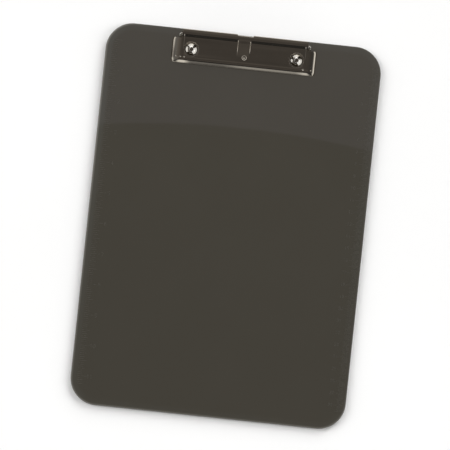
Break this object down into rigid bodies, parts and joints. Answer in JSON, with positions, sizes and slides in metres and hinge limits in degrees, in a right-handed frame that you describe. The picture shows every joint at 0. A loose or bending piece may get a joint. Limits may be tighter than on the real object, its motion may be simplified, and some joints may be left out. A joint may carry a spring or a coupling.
{
  "type": "clipboard",
  "caption": "Letter-size clipboard: smoke plastic board with rounded corners, low-profile sprung steel clip at the top edge and a hanger strip that slides out",
  "frame": {"origin": "centre of the board's outline, on its back face, with the board lying flat", "axes": "+X to the right, +Y towards the clip end along the board's length, +Z out of the writing face"},
  "size_m": [0.2286, 0.3174, 0.0108],
  "materials": {
    "board_plastic": "smooth glossy smoke-tinted moulded plastic",
    "clip_nickel": "bright nickel-plated pressed sheet steel",
    "pin_steel": "nickel-plated steel rod with formed ends",
    "spring_steel": "drawn spring wire",
    "rivet_nickel": "bright nickel-plated tubular rivet"
  },
  "bodies": {
    "board": {"board": "board_plastic", "base_plate": "clip_nickel", "pivot_pin": "pin_steel", "torsion_spring_left": "spring_steel", "torsion_spring_right": "spring_steel", "rivet_left": "rivet_nickel", "rivet_right": "rivet_nickel"},
    "clip": {"clip_plate": "clip_nickel"},
    "hanger": {"hanger": "clip_nickel"}
  },
  "joints": [
    {"name": "clip_hinge", "type": "hinge", "parent": "board", "child": "clip", "pos_m": [0, 0.15295, 0.00625], "axis": [-1, 0, 0], "range_deg": [0, 30], "stiffness_Nm_per_rad": 0.3, "springref_deg": -51.57, "deforming": ["torsion_spring_left", "torsion_spring_right"]},
    {"name": "hanger_slide", "type": "slide", "parent": "board", "child": "hanger", "axis": [0, 1, 0], "range_m": [0, 0.0115]}
  ]
}
